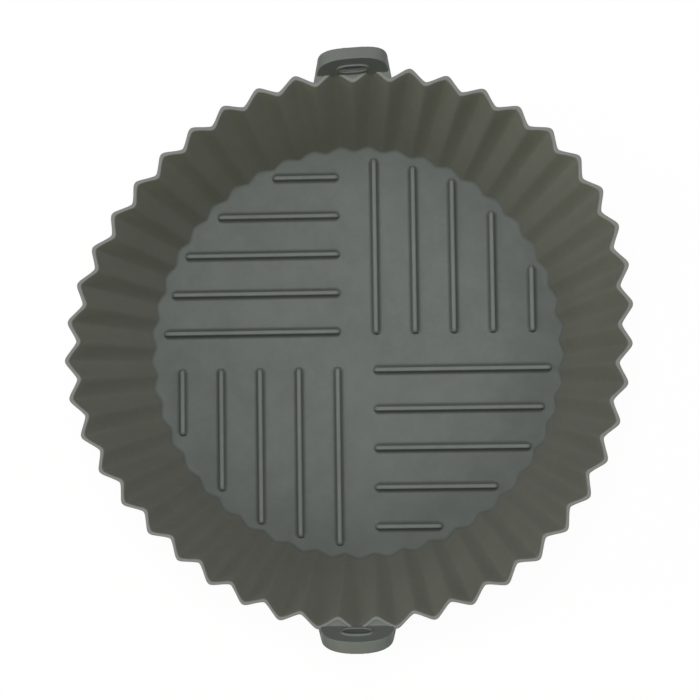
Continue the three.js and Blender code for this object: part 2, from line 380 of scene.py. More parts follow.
# %% Silicone material
def silicone(name, grey, edge_shade_grey=None, bands=(), marks=()):
    """Matte grey silicone, with painted light and shade towards the edge, with height and where it is marked.
    """
    sheet = FinishSheet(name)
    colour = grey
    if edge_shade_grey:
        colour = sheet.blend(sheet.far_from(PALE_MIDDLE, *MIDDLE_TO_EDGE), grey, edge_shade_grey)
    if bands:
        height = sheet.node("ShaderNodeSeparateXYZ", {"Vector": sheet.place}, "Z")
        for span, band_grey in bands:
            colour = sheet.blend(sheet.ramp(height, *span), colour, band_grey)
    for mark, mark_grey in marks:
        share = sheet.node("ShaderNodeAttribute", output="Fac", attribute_name=mark)
        colour = sheet.blend(share, colour, mark_grey)
    clouds = sheet.drift(CLOUD_NOISE, *CLOUD_SHADES)
    shade = sheet.math("MULTIPLY", clouds, sheet.drift(FLECK_NOISE, *FLECK_SHADES))
    tint = sheet.node("ShaderNodeCombineColor", {"Red": shade, "Green": shade, "Blue": shade})
    colour = sheet.blend(1.0, colour, tint, "MULTIPLY")
    colour = sheet.blend(sheet.dust(), colour, DUST_GREY)
    bump = {"Height": sheet.noise(*GRAIN_NOISE), "Strength": GRAIN_STRENGTH, "Distance": GRAIN_DEPTH}
    sheet.join(colour, sheet.shader.inputs["Base Color"])
    sheet.join(sheet.drift(GLOSS_NOISE, *GLOSS_SPAN), sheet.shader.inputs["Roughness"])
    sheet.join(sheet.node("ShaderNodeBump", bump, "Normal"), sheet.shader.inputs["Normal"])
    for key, value in SHADER_VALUES.items():
        sheet.shader.inputs[key].default_value = value
    return sheet.material


shell_bands = ((FLOOR_TO_WALL, WALL_LIGHT_TINT_GREY), (WALL_TO_RIM, RIM_HIGHLIGHT_GREY))
shell_silicone = silicone("silicone_shell", FLOOR_GREY, EDGE_SHADE_GREY, shell_bands)
rib_bands = ((FLOOR_TO_SIDE, SIDE_SHADE_GREY), (SIDE_TO_CROWN, CROWN_HIGHLIGHT_GREY))
rib_marks = (("end", END_GREY), ("lee", LEE_SHADE_GREY))
rib_silicone = silicone("silicone_ribs", FLOOR_GREY, EDGE_SHADE_GREY, rib_bands, rib_marks)
slot_marks = (("dark_slot", SLOT_SHADE_GREY), ("pale_slot", SLOT_LIGHT_GREY))
tab_marks = (("level", LEVEL_LIGHT_GREY), ("lee", TAB_LEE_SHADE_GREY)) + slot_marks
tab_silicone = silicone("silicone_tabs", TAB_SHADED_GREY, marks=tab_marks)
print("finishes:", [m.name for m in (shell_silicone, rib_silicone, tab_silicone)])

# %% [markdown]
# ## The pleated shell
# On the real liner the floor and the wall are one skin, about 1.6 mm thick at the rim and a little thinner
# towards the front. It follows a rule all the way round: a rounded zigzag of 45 pleats, shallow at the floor
# and deep at the rim. It could be modelled as one pleat and an array, but a rule is better kept as a rule. So
# a tree of nodes sweeps the section of the skin round a circle, and then moves each point in or out by the
# zigzag. The arcsine of a cosine is a triangle wave, and a factor a little under 1 inside it rounds the
# folds.

# %% Sizes of the shell
RIM_THICKNESS = 1.65 * MM
RIM_PLEAT_DEPTH = 3.9 * MM
BASE_PLEAT_DEPTH = 1.7 * MM
FOLD_SHARPNESS = 0.9
FLANK_THINNING = 0.2
FRONT_THINNING = 0.2
POINTS_PER_PLEAT = 24
FOLD_CROWDING = 0.6
FLOOR_COVE = 1.8 * MM
RIM_EDGE = 0.4 * MM
FOOT_EDGE = 1.1 * MM
LONGEST_RUN = 9 * MM
MERGE_DISTANCE = 0.001 * MM


def zigzag(angle):
    """The pleats as a wave from 1 at a crest to -1 at a valley."""
    return np.arcsin(FOLD_SHARPNESS * np.cos(PLEATS * (angle - FRONT))) / math.asin(FOLD_SHARPNESS)


def wall_radius(angle, height, inset):
    """The level radius of the pleated wall, an inset in from its outer skin."""
    rise = (height - FLOOR_TOP) / WALL_RISE
    depth = BASE_PLEAT_DEPTH + (RIM_PLEAT_DEPTH - BASE_PLEAT_DEPTH) * rise
    crest = BASE_RADIUS + WALL_FLARE * (height - FLOOR_TOP)
    return crest - inset - depth * (1 - zigzag(angle)) / 2


valley = float(wall_radius(FRONT + math.pi / PLEATS, RIM_HEIGHT, 0.0))
print(f"the rim's valleys lie {valley / MM:.1f} mm from the axis")


# %% Section and wave of the shell
def shell_section(sheet, rim, base, height, floor, thickness, edges):
    """Half the section of the skin at a crest, from the middle of the floor round to the underside."""
    cove, rim_edge, foot_edge = edges
    corners = [
        (0.0, floor),
        (sheet.math("SUBTRACT", base, thickness), floor),
        (sheet.math("SUBTRACT", rim, thickness), height),
        (rim, height),
        (sheet.math("SUBTRACT", base, sheet.math("MULTIPLY", floor, WALL_FLARE)), 0.0),
        (0.0, 0.0),
    ]
    return sheet.rounded_line(corners, [0.0, cove, rim_edge, rim_edge, foot_edge, 0.0], False)


def split_long_runs(sheet, line, longest):
    """Adds points along the straight runs, so that faces stay short."""
    step = {"Point Index": sheet.node("GeometryNodeInputIndex"), "Offset": 1}
    following = sheet.node("GeometryNodeOffsetPointInCurve", step, "Point Index")
    here = sheet.node("GeometryNodeInputPosition")
    lookup = {"Value": here, "Index": following}
    there = sheet.node("GeometryNodeFieldAtIndex", lookup, data_type="FLOAT_VECTOR")
    gap = sheet.node("ShaderNodeVectorMath", {0: here, 1: there}, "Value", operation="DISTANCE")
    cuts = sheet.math("FLOOR", sheet.math("DIVIDE", gap, longest))
    return sheet.node("GeometryNodeSubdivideCurve", {"Curve": line, "Cuts": cuts})


def crowded_turns(sheet, points, crowding):
    """How far round its pleats each point of the path is, with the points crowded at the folds."""
    turn = sheet.math("DIVIDE", sheet.node("GeometryNodeInputIndex"), points)
    crowd = sheet.math("SINE", sheet.math("MULTIPLY", turn, 4 * math.pi))
    crowd = sheet.math("MULTIPLY", crowd, sheet.math("DIVIDE", crowding, 4 * math.pi))
    return sheet.math("MULTIPLY", sheet.math("SUBTRACT", turn, crowd), 2 * math.pi)


def pleat_wave(sheet, turn, sharpness):
    """The zigzag from 1 at a crest to -1 at a valley, and half its steepness."""
    wave = sheet.math("MULTIPLY", sheet.math("COSINE", turn), sharpness)
    full = sheet.math("ARCSINE", sharpness)
    root = sheet.math("SQRT", sheet.math("SUBTRACT", 1.0, sheet.math("MULTIPLY", wave, wave)))
    slope = sheet.math("MULTIPLY", sheet.math("SINE", turn), sheet.math("MULTIPLY", sharpness, -0.5))
    slope = sheet.math("DIVIDE", slope, sheet.math("MULTIPLY", root, full))
    return sheet.math("DIVIDE", sheet.math("ARCSINE", wave), full), slope


# %% The tree of the shell
def shell_tree():
    sheet = ShapeSheet("pleated_shell")
    rim = sheet.size("Rim radius", RIM_RADIUS)
    base = sheet.size("Base radius", BASE_RADIUS)
    height = sheet.size("Rim height", RIM_HEIGHT)
    floor = sheet.size("Floor top", FLOOR_TOP)
    thickness = sheet.size("Rim thickness", RIM_THICKNESS)
    rim_depth = sheet.size("Rim pleat depth", RIM_PLEAT_DEPTH)
    base_depth = sheet.size("Base pleat depth", BASE_PLEAT_DEPTH)
    sharpness = sheet.size("Fold sharpness", FOLD_SHARPNESS)
    pleats = sheet.size("Pleats", PLEATS, "NodeSocketInt")
    points = sheet.size("Points per pleat", POINTS_PER_PLEAT, "NodeSocketInt")
    thinning = sheet.size("Flank thinning", FLANK_THINNING)
    front_thinning = sheet.size("Front thinning", FRONT_THINNING)
    crowding = sheet.size("Fold crowding", FOLD_CROWDING)
    cove = sheet.size("Floor cove", FLOOR_COVE)
    rim_edge = sheet.size("Rim edge", RIM_EDGE)
    foot_edge = sheet.size("Foot edge", FOOT_EDGE)
    longest = sheet.size("Longest run", LONGEST_RUN)

    section = shell_section(sheet, rim, base, height, floor, thickness, (cove, rim_edge, foot_edge))
    section = split_long_runs(sheet, section, longest)
    section, place = sheet.keep(section, "VECTOR", sheet.node("GeometryNodeInputPosition"))
    count = sheet.math("MULTIPLY", pleats, points)
    path = sheet.node("GeometryNodeCurvePrimitiveCircle", {"Resolution": count, "Radius": rim})
    path, turn = sheet.keep(path, "FLOAT", crowded_turns(sheet, points, crowding))
    skin = sheet.node("GeometryNodeCurveToMesh", {"Curve": path, "Profile Curve": section})

    radius = sheet.node("ShaderNodeSeparateXYZ", {"Vector": place}, "X")
    up = radius.node.outputs["Y"]
    rise = sheet.math("DIVIDE", sheet.math("SUBTRACT", up, floor), sheet.math("SUBTRACT", height, floor))
    depth = sheet.math("MULTIPLY_ADD", sheet.math("SUBTRACT", rim_depth, base_depth), rise, base_depth)
    fade = sheet.math("MINIMUM", sheet.math("DIVIDE", radius, base), 1.0)
    depth = sheet.math("MULTIPLY", depth, fade)
    half = sheet.math("MULTIPLY", thickness, 0.5)
    crest = sheet.math("MULTIPLY_ADD", sheet.math("SUBTRACT", rim, base), rise, base)
    middle = sheet.math("SUBTRACT", crest, half)
    offset = sheet.math("MINIMUM", sheet.math("SUBTRACT", radius, middle), half)
    offset = sheet.math("MAXIMUM", offset, sheet.math("MULTIPLY", half, -1.0))
    offset = sheet.math("MULTIPLY", offset, fade)

    wave, slope = pleat_wave(sheet, turn, sharpness)
    inwards = sheet.math("MULTIPLY", depth, sheet.math("MULTIPLY_ADD", wave, -0.5, 0.5))
    slope = sheet.math("MULTIPLY", slope, sheet.math("DIVIDE", sheet.math("MULTIPLY", depth, pleats), base))
    flank = sheet.math("SUBTRACT", 1.0, sheet.math("MULTIPLY", wave, wave))
    even = sheet.math("SUBTRACT", 1.0, sheet.math("MULTIPLY", flank, thinning))
    even = sheet.math("DIVIDE", even, sheet.math("SQRT", sheet.math("MULTIPLY_ADD", slope, slope, 1.0)))
    forward = sheet.math("MAXIMUM", sheet.math("COSINE", sheet.math("DIVIDE", turn, pleats)), 0.0)
    forward = sheet.math("MULTIPLY", forward, front_thinning)
    even = sheet.math("MULTIPLY", even, sheet.math("SUBTRACT", 1.0, forward))
    outwards = sheet.math("MULTIPLY", offset, sheet.math("SUBTRACT", even, 1.0))
    sideways = sheet.math("MULTIPLY", offset, even)
    sideways = sheet.math("MULTIPLY", sideways, sheet.math("MULTIPLY", slope, -1.0))

    radius = sheet.math("ADD", sheet.math("SUBTRACT", radius, inwards), outwards)
    angle = sheet.math("ADD", sheet.math("DIVIDE", turn, pleats), sheet.math("DIVIDE", sideways, middle))
    angle = sheet.math("ADD", angle, FRONT)
    x = sheet.math("MULTIPLY", radius, sheet.math("COSINE", angle))
    y = sheet.math("MULTIPLY", radius, sheet.math("SINE", angle))
    skin = sheet.node("GeometryNodeSetPosition", {"Geometry": skin, "Position": sheet.vector(x, y, up)})
    skin = sheet.node("GeometryNodeMergeByDistance", {"Geometry": skin, "Distance": MERGE_DISTANCE})
    sheet.finish(skin, shell_silicone)
    return sheet


shell = shell_tree().grow("liner_shell", bpy.data.meshes.new("shell_seed"))

# %% [markdown]
# ## Soft and a little out of round
# A soft liner that has been folded in a box never stands truly round. Its floor lies flat, but the rim leans
# in here and out there by two or three millimetres. A ring that bends without stretching moves in and out by
# a few slow waves, and slides along itself to keep its length. Two small bends come on top: the right side
# bulges a little, and the rim at the back tab is pulled to the right and inwards. The same rule moves every
# piece that rises from the floor, so that the tabs go with the rim that carries them.

# %% Out of round rim
# Each wave is its number round the rim, and the push of its cosine and of its sine.
RIM_WAVES = (
    (2, 0.0, 1.73 * MM),
    (3, -1.79 * MM, 0.79 * MM),
    (4, 0.47 * MM, 0.36 * MM),
    (5, -0.75 * MM, -0.10 * MM),
    (6, -0.11 * MM, 0.21 * MM),
)
RIM_TWIST = math.radians(0.33)
BACK_PULL = (0.7 * MM, -0.7 * MM)
BACK_PULL_REACH = math.radians(22)
BULGE = 1.0 * MM
BULGE_MIDDLE = math.radians(-17)
BULGE_REACH = math.radians(80)
BULGE_EASE = math.radians(30)


def relax(mesh):
    """Moves a mesh with the soft rim: not at all at the floor, fully at the rim."""
    x, y, z = points_of(mesh).T
    lift = np.clip((z - FLOOR_TOP) / WALL_RISE, 0, None)
    angle = np.arctan2(y, x)
    radius = np.hypot(x, y)
    push = np.zeros_like(x)
    slide = RIM_TWIST * RIM_RADIUS * np.ones_like(x)
    for waves, cosine, sine in RIM_WAVES:
        push += cosine * np.cos(waves * angle) + sine * np.sin(waves * angle)
        slide += (sine * np.cos(waves * angle) - cosine * np.sin(waves * angle)) / waves
    push += BULGE * smooth_step((BULGE_REACH - np.abs(angle - BULGE_MIDDLE)) / BULGE_EASE)
    angle += lift * slide / np.maximum(radius, BASE_RADIUS)
    radius += lift * push
    share = lift * smooth_step(1 - np.abs(angle - math.pi / 2) / BACK_PULL_REACH)
    x = radius * np.cos(angle) + share * BACK_PULL[0]
    y = radius * np.sin(angle) + share * BACK_PULL[1]
    set_points(mesh, np.column_stack((x, y, z)))
    print(f"{mesh.name}: moved by up to {np.abs(lift * push).max() / MM:.2f} mm in or out")


relax(shell.data)

# %% [markdown]
# ## The floor ribs
# Twenty low ribs hold the food off the floor so that hot air and fat can pass under it. Each is a bar with
# sloped sides, a rounded crown, round ends, and a wide cove where it meets the floor, so that it leaves the
# mould easily. The CAD boxes give their centre lines. The nodes sweep one section along all of them, and
# shrink it towards both ends, which rounds the ends off like a thumb. The sides that face the front are
# marked afterwards for a painted shade, because they are the darkest in the photograph.

# %% Sizes of the ribs
# The LEE values are parts of the direction that the skin faces: 1 is straight to the front, or straight up.
RIB_FOOT = 1.6 * MM
RIB_CROWN = 0.66 * MM
RIB_COVE_REACH = 1.6 * MM
RIB_COVE = 1.9 * MM
RIB_COVE_SINK = 0.06 * MM
RIB_SHOULDER = 0.6 * MM
RIB_ROOT = 0.2 * MM
RIB_END = 1.7 * MM
RIB_TIP_SCALE = 0.02
RIB_OUTER_REACH = 0.8 * MM
RIB_STATIONS = 44
LEE_FROM = 0.35
LEE_TO = 0.85
LEE_UP = 0.2
rib_names = sorted(name for name in frame["nodes"] if name.startswith("rib_"))
print(len(rib_names), "ribs")


# %% Centre lines and the tree of the ribs
def rib_lines():
    """The ribs' centre lines on the floor, whose outer ends run a little past the CAD bars."""
    mesh = bpy.data.meshes.new("rib_lines")
    points, edges = [], []
    for name in rib_names:
        low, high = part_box(name)
        middle, half = (low + high) / 2, (high - low) / 2
        along = Vector((1, 0, 0)) if half.x > half.y else Vector((0, 1, 0))
        reach = along * max(half.x, half.y)
        foot = Vector((middle.x, middle.y, low.z))
        ends = [foot - reach, foot + reach]
        outer = 0 if ends[0].xy.length > ends[1].xy.length else 1
        ends[outer] += along * math.copysign(RIB_OUTER_REACH, outer - 0.5)
        edges.append((len(points), len(points) + 1))
        points += ends
    mesh.from_pydata(points, edges, [])
    return mesh


def rib_tree(height):
    sheet = ShapeSheet("floor_ribs")
    tall = sheet.size("Height", height)
    foot = sheet.size("Half foot", RIB_FOOT)
    crown = sheet.size("Half crown", RIB_CROWN)
    reach = sheet.size("Half cove", RIB_FOOT + RIB_COVE_REACH)
    root = sheet.size("Root depth", RIB_ROOT)
    sink = sheet.size("Cove sink", RIB_COVE_SINK)
    cove = sheet.size("Cove radius", RIB_COVE)
    shoulder = sheet.size("Shoulder radius", RIB_SHOULDER)
    end = sheet.size("Round end", RIB_END)
    stations = sheet.size("Stations", RIB_STATIONS, "NodeSocketInt")

    half = [(reach, root), (reach, sink), (foot, 0.0), (crown, sheet.math("MULTIPLY", tall, -1.0))]
    other = [(sheet.math("MULTIPLY", across, -1.0), down) for across, down in reversed(half)]
    radii = [0.0, 0.0, cove, shoulder]
    section = sheet.rounded_line(other[::-1] + half[::-1], radii + radii[::-1], True)

    lines = sheet.node("GeometryNodeMeshToCurve", {"Mesh": sheet.entry.outputs["Geometry"]})
    lines = sheet.node("GeometryNodeResampleCurve", {"Curve": lines, "Count": stations})
    lines, whole = sheet.keep(lines, "FLOAT", sheet.node("GeometryNodeSplineLength"))
    lines, share = sheet.keep(lines, "FLOAT", sheet.node("GeometryNodeSplineParameter"))
    eased = sheet.math("COSINE", sheet.math("MULTIPLY", share, math.pi))
    eased = sheet.math("MULTIPLY_ADD", eased, -0.5, 0.5)
    shift = sheet.math("MULTIPLY", sheet.math("SUBTRACT", eased, share), whole)
    ahead = {0: sheet.node("GeometryNodeInputTangent"), "Scale": shift}
    offset = sheet.node("ShaderNodeVectorMath", ahead, "Vector", operation="SCALE")
    lines = sheet.node("GeometryNodeSetPosition", {"Geometry": lines, "Offset": offset})

    from_end = sheet.math("MINIMUM", eased, sheet.math("SUBTRACT", 1.0, eased))
    from_end = sheet.math("DIVIDE", sheet.math("MULTIPLY", from_end, whole), end)
    short = sheet.math("SUBTRACT", 1.0, sheet.math("MINIMUM", from_end, 1.0))
    mark = {"Geometry": lines, "Name": "end", "Value": sheet.math("SQRT", short)}
    lines = sheet.node("GeometryNodeStoreNamedAttribute", mark, data_type="FLOAT", domain="POINT")
    round_end = sheet.math("SQRT", sheet.math("SUBTRACT", 1.0, sheet.math("MULTIPLY", short, short)))
    sweep = {"Curve": lines, "Profile Curve": section, "Fill Caps": True}
    sweep["Scale"] = sheet.math("MAXIMUM", round_end, RIB_TIP_SCALE)
    sheet.finish(sheet.node("GeometryNodeCurveToMesh", sweep), rib_silicone)
    return sheet


# %% Grow the ribs
def mark_lee_shade(mesh):
    """Marks the steep skin that faces the front and a little up, for painted shade, as it is the darkest in
    the photograph.
    """
    normals = normals_of(mesh)
    steep = share_between(-normals[:, 1], LEE_FROM, LEE_TO)
    set_mark(mesh, "lee", steep * share_between(normals[:, 2], 0, LEE_UP))


rib_low, rib_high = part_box(rib_names[0])
ribs = rib_tree(rib_high.z - rib_low.z).grow("floor_ribs", rib_lines())
mark_lee_shade(ribs.data)
rib_points = points_of(ribs.data) / MM
print("ribs from", rib_points.min(axis=0).round(2), "to", rib_points.max(axis=0).round(2), "mm")

# %% [markdown]
# ## The lift tabs
# A half-moon tab with a slot stands on the rim at the back and at the front, and a web below it fills the
# outside of the pleats, so that a finger can pull without tearing the wall. It is all one thick lump of
# rubber with soft edges. Rounding every edge of such a lump by hand is slow. Here the plain tab and the plain
# web are put into each other, a voxel remesh melts them into one closed skin, and a few rounds of smoothing
# wear the edges round, the way the mould does. The remesh can leave tiny specks, which are dropped.

# %% Sizes of the tabs
# A fullness of 2 makes an ellipse, and a higher one squarer corners. A LEVEL of 1 faces straight up.
TAB_NARROWING = 0.3 * MM
TAB_HALF_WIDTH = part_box("lift_tab_back")[1].x - TAB_NARROWING
TAB_ROOT_RISE = 7 * MM
TAB_HEIGHT = 9.5 * MM
TAB_THICKNESS = 4.8 * MM
TAB_INNER_FULLNESS = 2.45
TAB_SET_IN = 1.0 * MM
TAB_OUTLINE_STEPS = 40
BACK_FULLNESS = 3.0
FRONT_FULLNESS = 2.3
BACK_FLARE = 1.5 * MM
FRONT_FLARE = 1.0 * MM
FRONT_SHIFT = 0.3 * MM
FRONT_LEAN = 0.04
WEDGE_DEPTH = 4 * MM
WEDGE_RUN_OUT = 1.0 * MM
WEDGE_SINK = 1.4 * MM
WEDGE_NARROWING = 0.3 * MM
WEDGE_TOP = 0.6 * MM
WEDGE_KNEE = 0.4 * MM
WEB_DROP = 11 * MM
WEB_TOP_GAP = 0.25 * MM
WEB_FACE = 4 * MM
WEB_TOE = 0.9 * MM
WEB_CORNER = 8 * MM
WEB_LEAST = 0.2 * MM
WEB_COLUMNS = 48
WEB_ROWS = 20
MELT_VOXEL = 0.2 * MM
WEAR_SHARE = 0.5
WEAR_ROUNDS = 6
LEVEL_FROM = 0.55
LEVEL_TO = 0.9
print(f"tab {2 * TAB_HALF_WIDTH / MM:.1f} mm wide, {TAB_HEIGHT / MM:.1f} mm high")

# %% Sizes of the slot, and the tab's own frame
SLOT_HALF_WIDTH = 5.3 * MM
SLOT_HALF_HEIGHT = 1.95 * MM
SLOT_MIDDLE = 3.35 * MM
SLOT_FULLNESS = 2.5
SLOT_STEPS = 48
SLOT_EDGE = 0.4 * MM
SLOT_BEAD = 0.4 * MM
SLOT_BEAD_LIFT = 0.2 * MM
SLOT_BEAD_ROUNDNESS = 3
SLOT_MARK_REACH = 1.15
PLUG_BEYOND = 2 * MM

TAB_RUN = Vector((0, math.sin(WALL_LEAN), math.cos(WALL_LEAN)))
TAB_OUT = Vector((0, math.cos(WALL_LEAN), -math.sin(WALL_LEAN)))
TAB_ROOT = Vector((0, RIM_RADIUS - RIM_THICKNESS - TAB_SET_IN, RIM_HEIGHT))
TAB_FRAME = Matrix.Translation(TAB_ROOT) @ Matrix((
    (-1, 0, 0, 0),
    (0, TAB_RUN.y, TAB_OUT.y, 0),
    (0, TAB_RUN.z, TAB_OUT.z, 0),
    (0, 0, 0, 1),
))
print(f"slot {2 * SLOT_HALF_WIDTH / MM:.1f} by {2 * SLOT_HALF_HEIGHT / MM:.1f} mm")


# %% Outlines of a tab and its slot
def side_at(rise, fullness):
    """Half the width of a tab at a height above its root, nearly a half ellipse."""
    share = min(max(rise / TAB_HEIGHT, 0.0), 1.0)
    return TAB_HALF_WIDTH * (1 - share ** fullness) ** (1 / fullness)


def half_moon(fullness):
    """The outline of a tab. A higher fullness gives squarer corners."""
    turns = [math.pi / 2 * step / TAB_OUTLINE_STEPS for step in range(TAB_OUTLINE_STEPS)]
    rises = [TAB_HEIGHT * math.sin(turn) ** (2 / fullness) for turn in turns]
    half = [(side_at(rise, fullness), rise) for rise in rises]
    return half + [(0.0, TAB_HEIGHT)] + [(-x, y) for x, y in reversed(half)]


def slot_loop():
    """The outline of the slot, a long oval."""
    loop = []
    for step in range(SLOT_STEPS):
        turn = 2 * math.pi * step / SLOT_STEPS
        x, y = [math.copysign(abs(v) ** (2 / SLOT_FULLNESS), v) for v in (math.cos(turn), math.sin(turn))]
        loop.append((SLOT_HALF_WIDTH * x, SLOT_MIDDLE + SLOT_HALF_HEIGHT * y))
    return loop


# %% Plain solids of a tab: slotted plate, bead and root
def loft(low, high, low_height, high_height):
    """A closed solid between two outlines with the same number of points."""
    solid = bmesh.new()
    bottom = [solid.verts.new((x, y, low_height)) for x, y in low]
    top = [solid.verts.new((x, y, high_height)) for x, y in high]
    solid.faces.new(reversed(bottom))
    solid.faces.new(top)
    for here in range(len(low)):
        after = (here + 1) % len(low)
        solid.faces.new((bottom[here], bottom[after], top[after], top[here]))
    mesh = bpy.data.meshes.new("loft")
    solid.to_mesh(mesh)
    solid.free()
    return mesh


def slotted_plate(fullness):
    """The tab's plate with its slot cut through."""
    plate = shown("plate", loft(half_moon(TAB_INNER_FULLNESS), half_moon(fullness), 0.0, TAB_THICKNESS))
    plug = shown("plug", loft(slot_loop(), slot_loop(), -PLUG_BEYOND, TAB_THICKNESS + PLUG_BEYOND))
    cut = plate.modifiers.new("slot", "BOOLEAN")
    cut.operation = "DIFFERENCE"
    cut.solver = "EXACT"
    cut.object = plug
    mesh = plain_mesh(plate)
    bpy.data.batch_remove([plate, plate.data, plug, plug.data])
    return mesh


def bead_ring():
    """A thin raised bead round the slot, on both faces of the tab."""
    curve = bpy.data.curves.new("slot_bead", "CURVE")
    curve.dimensions = "3D"
    curve.bevel_depth = SLOT_BEAD
    curve.bevel_resolution = SLOT_BEAD_ROUNDNESS
    loop = slot_loop()
    for face in (-SLOT_BEAD_LIFT, TAB_THICKNESS + SLOT_BEAD_LIFT):
        spline = curve.splines.new("POLY")
        spline.points.add(len(loop) - 1)
        spline.points.foreach_set("co", [v for x, y in loop for v in (x, y, face, 1.0)])
        spline.use_cyclic_u = True
    ring = shown("slot_bead", curve)
    mesh = plain_mesh(ring)
    bpy.data.batch_remove([ring, curve])
    return mesh


def root_wedge():
    """The root of the tab, whose inner face leads back into the wall, so that the wall flows up into it."""
    half = TAB_HALF_WIDTH - WEDGE_NARROWING
    section = [
        (WEDGE_TOP, 0.0),
        (-WEDGE_KNEE, 0.0),
        (-WEDGE_DEPTH, TAB_SET_IN + WEDGE_RUN_OUT),
        (-WEDGE_DEPTH, TAB_THICKNESS - WEDGE_SINK),
        (WEDGE_TOP, TAB_THICKNESS),
    ]
    wedge = loft(section, section, -half, half)
    wedge.transform(Matrix(((0, 0, 1, 0), (1, 0, 0, 0), (0, 1, 0, 0), (0, 0, 0, 1))))
    return wedge


# %% Web under a tab
def web_face(height):
    """How far out the web's outer face stands at a height."""
    top = TAB_FRAME @ Vector((0, 0, TAB_THICKNESS))
    foot_height = RIM_HEIGHT - WEB_FACE
    line = top.y + (height - top.z) * WALL_FLARE
    crest = RIM_RADIUS - (RIM_HEIGHT - height) * WALL_FLARE
    return line + (crest + WEB_TOE - line) * smooth_step((foot_height - height) / (WEB_DROP - WEB_FACE))


def web_point(layer, across, row, middle_angle, fullness, flare):
    """A point of the web, on its inner layer in the wall or on its outer one."""
    beyond = max(0.0, WEB_CORNER - (1 - abs(across)) * TAB_HALF_WIDTH)
    drop = WEB_DROP - WEB_CORNER + math.sqrt(max(WEB_CORNER ** 2 - beyond ** 2, 0.0))
    height = RIM_HEIGHT - WEB_TOP_GAP - (drop - WEB_TOP_GAP) * row / WEB_ROWS
    to_tab = TAB_FRAME.inverted()
    face = web_face(height)
    rise = (to_tab @ Vector((0, face, height))).y
    x = across * (side_at(rise, fullness) if layer else TAB_HALF_WIDTH + flare)
    swing = math.asin(x / RIM_RADIUS)
    y = float(wall_radius(middle_angle + swing, height, RIM_THICKNESS / 2)) * math.cos(swing)
    if layer:
        y = max(face, y + WEB_LEAST)
    return to_tab @ Vector((-x, y, height))


def web_block(middle_angle, fullness, flare):
    """A block from inside the pleated wall out to the tab's outer face, tapering in as it goes down."""
    verts, faces, columns, rows = [], [], WEB_COLUMNS + 1, WEB_ROWS + 1
    for layer in range(2):
        for column in range(columns):
            across = 2 * column / WEB_COLUMNS - 1
            verts += [web_point(layer, across, row, middle_angle, fullness, flare) for row in range(rows)]
    size = columns * rows
    for column in range(WEB_COLUMNS):
        for row in range(WEB_ROWS):
            a = column * rows + row
            quad = (a, a + rows, a + rows + 1, a + 1)
            faces += [quad, tuple(v + size for v in reversed(quad))]
    rim = [column * rows for column in range(columns)]
    rim += [(columns - 1) * rows + row for row in range(1, rows)]
    rim += [column * rows + rows - 1 for column in range(columns - 2, -1, -1)]
    rim += list(range(rows - 2, 0, -1))
    faces += [(b, a, a + size, b + size) for a, b in zip(rim, rim[1:] + rim[:1])]
    mesh = bpy.data.meshes.new("web_block")
    mesh.from_pydata(verts, [], faces)
    return mesh


# %% One lump from the plain solids
def lump_of(name, parts):
    """One mesh from several closed parts, all with their faces outwards."""
    lump = bmesh.new()
    for part in parts:
        lump.from_mesh(part)
        bpy.data.meshes.remove(part)
    bmesh.ops.recalc_face_normals(lump, faces=lump.faces)
    mesh = bpy.data.meshes.new(name)
    lump.to_mesh(mesh)
    lump.free()
    return mesh


def drop_specks(mesh):
    """Keeps the main skin only, because a voxel remesh can leave tiny specks beside it."""
    skin = bmesh.new()
    skin.from_mesh(mesh)
    left, islands = set(skin.verts), []
    while left:
        island, edge = set(), {next(iter(left))}
        while edge:
            island |= edge
            edge = {e.other_vert(v) for v in edge for e in v.link_edges} - island
        islands.append(island)
        left -= island
    main = max(islands, key=len)
    bmesh.ops.delete(skin, geom=[v for v in skin.verts if v not in main], context="VERTS")
    skin.to_mesh(mesh)
    skin.free()
    print(f"{len(islands) - 1} specks dropped")


# %% Lean and marks of a tab
def lean_out(mesh, shift, slope):
    """Lets a soft tab stand or lean a little further out than its twin."""
    points = points_of(mesh)
    rise = points[:, 1]
    root = smooth_step((rise + TAB_ROOT_RISE) / TAB_ROOT_RISE)
    points[:, 2] += shift * root + slope * np.maximum(rise, 0)
    set_points(mesh, points)


def mark_slot(mesh, shade):
    """Marks the skin inside the slot for painted shade or painted light, while the tab still lies flat."""
    x, y, z = points_of(mesh).T
    across = x / (SLOT_HALF_WIDTH + SLOT_EDGE)
    up = (y - SLOT_MIDDLE) / (SLOT_HALF_HEIGHT + SLOT_EDGE)
    within = across ** 2 + up ** 2 < SLOT_MARK_REACH
    share = within * share_between(np.minimum(z, TAB_THICKNESS - z), 0, SLOT_EDGE)
    for mark in ("dark_slot", "pale_slot"):
        set_mark(mesh, mark, share * (mark == shade))


def mark_level(mesh):
    """Marks how level the skin is, for the painted light on what faces up."""
    set_mark(mesh, "level", share_between(normals_of(mesh)[:, 2], LEVEL_FROM, LEVEL_TO))


# %% Melt each tab and its web into one skin
def lift_tab(name, turn, fullness, flare, shift, slope, slot_shade):
    """A soft tab with its web, made flat and then put on the rim, a turn on from the back."""
    middle = math.pi / 2 + turn
    parts = [slotted_plate(fullness), bead_ring(), root_wedge(), web_block(middle, fullness, flare)]
    piece = shown(name, lump_of("plain_tab", parts))
    melt = piece.modifiers.new("melt", "REMESH")
    melt.mode = "VOXEL"
    melt.voxel_size = MELT_VOXEL
    melt.use_smooth_shade = True
    wear = piece.modifiers.new("wear", "SMOOTH")
    wear.factor = WEAR_SHARE
    wear.iterations = WEAR_ROUNDS
    settle(piece)
    mesh = piece.data
    drop_specks(mesh)
    mark_slot(mesh, slot_shade)
    lean_out(mesh, shift, slope)
    mesh.transform(Matrix.Rotation(turn, 4, "Z") @ TAB_FRAME)
    mesh.materials.clear()
    mesh.materials.append(tab_silicone)
    relax(mesh)
    mark_level(mesh)
    mark_lee_shade(mesh)
    return piece


